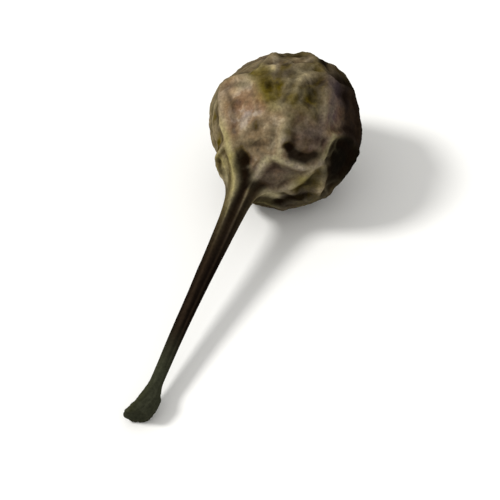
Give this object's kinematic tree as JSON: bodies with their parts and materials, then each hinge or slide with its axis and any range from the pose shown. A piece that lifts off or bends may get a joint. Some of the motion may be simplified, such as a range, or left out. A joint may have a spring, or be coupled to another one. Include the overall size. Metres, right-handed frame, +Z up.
{
  "type": "cubeb pepper",
  "caption": "Dried cubeb pepper: a round berry with a raised net of wrinkles, drawn out at its base into a thin woody tail.",
  "frame": {"origin": "middle of the small flat spot under the berry that the cubeb rests on", "axes": "+Z up, +X from the berry towards the tip of the tail"},
  "size_m": [0.0148, 0.0052, 0.0049],
  "materials": {
    "dried_skin": "dry wrinkled fruit skin, dull, dark brown with paler olive-brown ridges and a near-black tail"
  },
  "bodies": {
    "root": {"cubeb": "dried_skin"}
  },
  "joints": []
}
